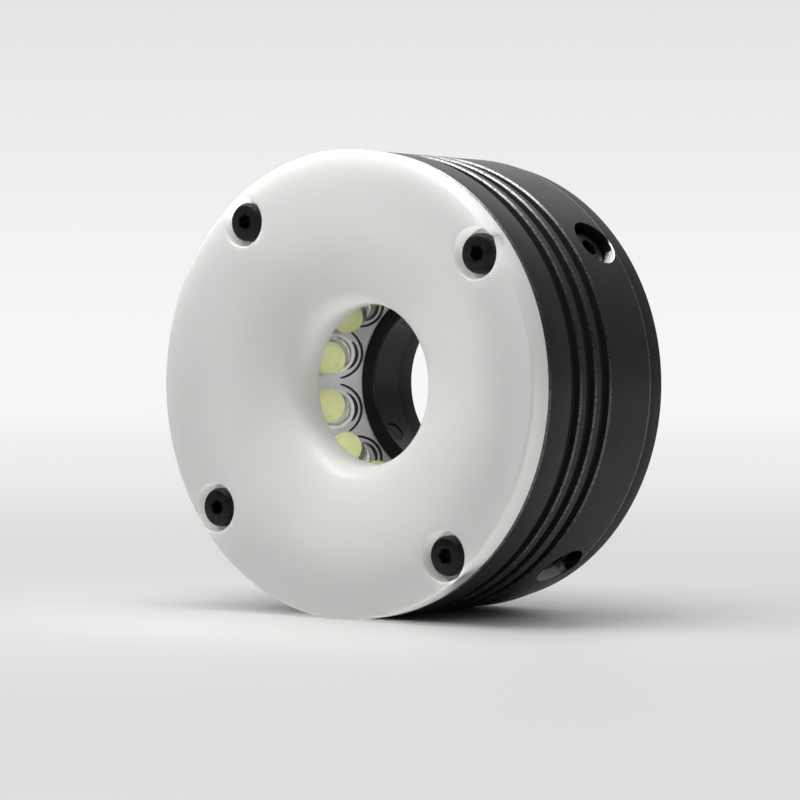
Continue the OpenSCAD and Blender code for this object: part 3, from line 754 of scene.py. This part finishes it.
gland = placed(around(INLET, INLET_FLAT, INLET_Y), outward(INLET))
pile = Pile().spun([(2.7, -5.5), (3.0, -5.2), (3.0, 4.4)], gland, ROUND).hex(INLET_ACROSS, 0, 2.2, gland)
inlet = pile.object("inlet_gland_body", NICKEL, slot="nickel")
bore = [(WIRE_BORE_R, -6), (WIRE_BORE_R, 0), (INLET_STEM_R, 0), (INLET_STEM_R, 8)]
cut_away(inlet, Pile().spun(bore, gland, ROUND), joined=True)
smooth(inlet, 30)
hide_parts("inlet_body")
pile = Pile().hex(INLET_ACROSS, 2.25, 5.4, gland)
pile.spun([(3.7, 5.2), (3.7, 5.4), (3.0, 6.65), (2.9, 6.75)], gland, ROUND)
nut = pile.object("inlet_gland_nut", NICKEL, slot="nickel")
bore = [(INLET_HOLE_R, 1.5), (INLET_HOLE_R, 4.55), (INLET_STEM_R, 4.55), (INLET_STEM_R, 6.5), (2.8, 7.2)]
cut_away(nut, Pile().spun(bore, gland, ROUND), joined=True)
smooth(nut, 30)
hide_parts("inlet_nut")
pile = Pile().spun([(2.5, 0), (2.5, 6.5), (2.3, 6.7), (2.0, 6.7)], gland, ROUND)
grommet = pile.object("inlet_seal", RUBBER, slot="rubber")
cut_away(grommet, Pile().spun([(1.8, -1), (1.8, 6.4), (2.1, 7.2)], gland, ROUND))
smooth(grommet, 30)
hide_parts("inlet_grommet")

# camera

AZIMUTH, ELEVATION, CAMERA_AWAY = math.radians(38.332), math.radians(0.7458), 414.30675
cam_data = bpy.data.cameras.new("camera")
cam = bpy.data.objects.new("camera", cam_data)
bpy.context.scene.collection.objects.link(cam)
bpy.context.scene.camera = cam
to_camera = Vector((math.sin(AZIMUTH) * math.cos(ELEVATION), -math.cos(AZIMUTH) * math.cos(ELEVATION),
                    math.sin(ELEVATION)))
cam.location = Vector((0, SEAM, 0)) + to_camera * CAMERA_AWAY * MM
cam.rotation_mode = "QUATERNION"
cam.rotation_quaternion = (-to_camera).to_track_quat("-Z", "Y")
cam_data.sensor_width = 36
cam_data.lens = 134.0
cam_data.shift_x, cam_data.shift_y = 0.0547, -0.0193
cam_data.clip_start, cam_data.clip_end = 0.01, 20

# floor and light, whose sizes are in metres

GROUND = -R_OUT * MM
FLOOR_HALF, BACK_FROM, BACK_RISE, BACK_HALF, BACK_TOP = 4.0, 1.1, 0.5, 1.5, 2.2
FLOOR_LOW, FLOOR_HIGH = (0.62, 0.618, 0.61), (0.64, 0.638, 0.63)
# painted shade: the glow that the camera sees on floor and backdrop is darker nearer the object, and DIM
# darkens it higher up
BACKDROP = [(0.0, (0.735, 0.73, 0.72)), (0.14, (0.79, 0.788, 0.778)), (0.28, (0.839, 0.839, 0.83)),
            (0.55, (0.865, 0.868, 0.862)), (1.0, (0.93, 0.935, 0.932))]
BACKDROP_FROM, BACKDROP_TO = 0.15, 1.25
BACKDROP_SHARE, SHARE_TO = [(0.04, 0), (0.09, 0.2), (0.2, 0.72), (0.4, 0.95), (1.0, 1)], 0.34
DIM, DIM_FROM, DIM_TO = 0.82, GROUND + 0.035, GROUND + 0.28
BENEATH = (0, SEAM + 0.0145, GROUND)
TOWARDS = Vector((math.sin(AZIMUTH), -math.cos(AZIMUTH), 0))
SIDE = Vector((math.cos(AZIMUTH), math.sin(AZIMUTH), 0))
AIM = Vector((0, -0.015, 0))


def paper_floor():
    """Pale paper that takes the object's shadow, and away from the object glows as a backdrop, with
    painted shade that darkens the glow nearer the object and higher up.
    """
    shade = Shade("paper_floor")
    shade.coat(FLOOR_LOW, FLOOR_HIGH, 6)
    shade.set(Roughness=0.42, IOR=1.4)
    distance = shade.nodes.new("ShaderNodeVectorMath")
    distance.operation = "DISTANCE"
    distance.inputs[1].default_value = BENEATH
    shade.links.new(shade.place, distance.inputs[0])
    away = distance.outputs["Value"]
    parts = shade.nodes.new("ShaderNodeSeparateXYZ")
    shade.links.new(shade.place, parts.inputs["Vector"])
    light = shade.nodes.new("ShaderNodeEmission")
    colour = shade.colours(shade.spread(away, 0, 1, BACKDROP_FROM, BACKDROP_TO), BACKDROP)
    shade.links.new(colour, light.inputs["Color"])
    strength = shade.spread(parts.outputs["Z"], 1, DIM, DIM_FROM, DIM_TO)
    shade.links.new(strength, light.inputs["Strength"])
    levels = [(position, (level, level, level)) for position, level in BACKDROP_SHARE]
    share = shade.colours(shade.spread(away, 0, 1, 0.0, SHARE_TO), levels)
    shown = shade.any_ray("Camera", "Glossy", "Transmission")
    return shade.show(shade.layered(shade.bsdf, light, shade.combined("MULTIPLY", share, shown)))


sweep = [(-FLOOR_HALF, 0, FLOOR_HALF), (BACK_FROM, 0, FLOOR_HALF)]
for degrees in range(6, 91, 6):
    a = math.radians(degrees)
    sweep.append((BACK_FROM + BACK_RISE * math.sin(a), BACK_RISE * (1 - math.cos(a)), BACK_HALF))
sweep.append((BACK_FROM + BACK_RISE, BACK_TOP, BACK_HALF))
verts, faces = [], []
for far, high, half in sweep:
    for across in (-half, half):
        verts.append(Vector((0, SEAM, GROUND + high)) - TOWARDS * far + SIDE * across)
for i in range(len(sweep) - 1):
    faces.append((2 * i, 2 * i + 1, 2 * i + 3, 2 * i + 2))
mesh = bpy.data.meshes.new("floor_sweep")
mesh.from_pydata(verts, [], faces)
mesh.polygons.foreach_set("use_smooth", [True] * len(faces))
mesh.materials.append(paper_floor())
floor = bpy.data.objects.new("floor_sweep", mesh)
bpy.context.scene.collection.objects.link(floor)


def softbox(name, offset, width, depth, power):
    """A rectangular lamp at offset from the object that shines on its middle."""
    data = bpy.data.lights.new(name, "AREA")
    data.shape = "RECTANGLE"
    data.size, data.size_y, data.energy = width, depth, power
    lamp = bpy.data.objects.new(name, data)
    bpy.context.scene.collection.objects.link(lamp)
    lamp.location = Vector((0, SEAM, 0)) + offset
    lamp.rotation_mode = "QUATERNION"
    lamp.rotation_quaternion = (AIM - lamp.location).to_track_quat("-Z", "Y")
    return lamp


softbox("key_light", Vector((-0.12, -0.115, 0.20)), 0.08, 0.08, 0.245)
softbox("rim_light", Vector((0, 0, 0.12)), 0.08, 0.06, 0.15)
softbox("near_light", UP * 0.10 + TOWARDS * 0.03 - SIDE * 0.06, 0.08, 0.06, 0.044)
softbox("top_light", UP * 0.16 + TOWARDS * 0.02, 0.22, 0.16, 0.06)
softbox("back_light", UP * 0.6 - TOWARDS * 0.5, 1.2, 0.8, 0.47)
throat_light = softbox("throat_light", Vector((0.254, -0.160, 0.035)), 0.009, 0.020, 0.00018)
throat_light.data.spread = math.radians(2)


def room(base, lobes):
    """Lights the world evenly by base, and more from each of the directions given."""
    world = bpy.data.worlds.new("studio")
    bpy.context.scene.world = world
    world.use_nodes = True
    nodes, links = world.node_tree.nodes, world.node_tree.links
    facing = nodes.new("ShaderNodeTexCoord").outputs["Generated"]
    total = None
    for direction, strength in lobes:
        dot = nodes.new("ShaderNodeVectorMath")
        dot.operation = "DOT_PRODUCT"
        dot.inputs[1].default_value = direction
        links.new(facing, dot.inputs[0])
        lobe = nodes.new("ShaderNodeMapRange")
        lobe.interpolation_type = "SMOOTHSTEP"
        for name, value in (("From Min", 0.3), ("From Max", 0.95), ("To Min", 0), ("To Max", strength)):
            lobe.inputs[name].default_value = value
        links.new(dot.outputs["Value"], lobe.inputs["Value"])
        add = nodes.new("ShaderNodeMath")
        add.operation = "ADD"
        add.inputs[1].default_value = base
        links.new(lobe.outputs["Result"], add.inputs[0])
        if total:
            links.new(total, add.inputs[1])
        total = add.outputs["Value"]
    links.new(total, nodes["Background"].inputs["Strength"])
    nodes["Background"].inputs["Color"].default_value = (1.0, 1.0, 1.0, 1)


room(0.01, [(SIDE, 0.33), (UP, 0.48)])

bpy.context.scene.view_settings.view_transform = "Standard"
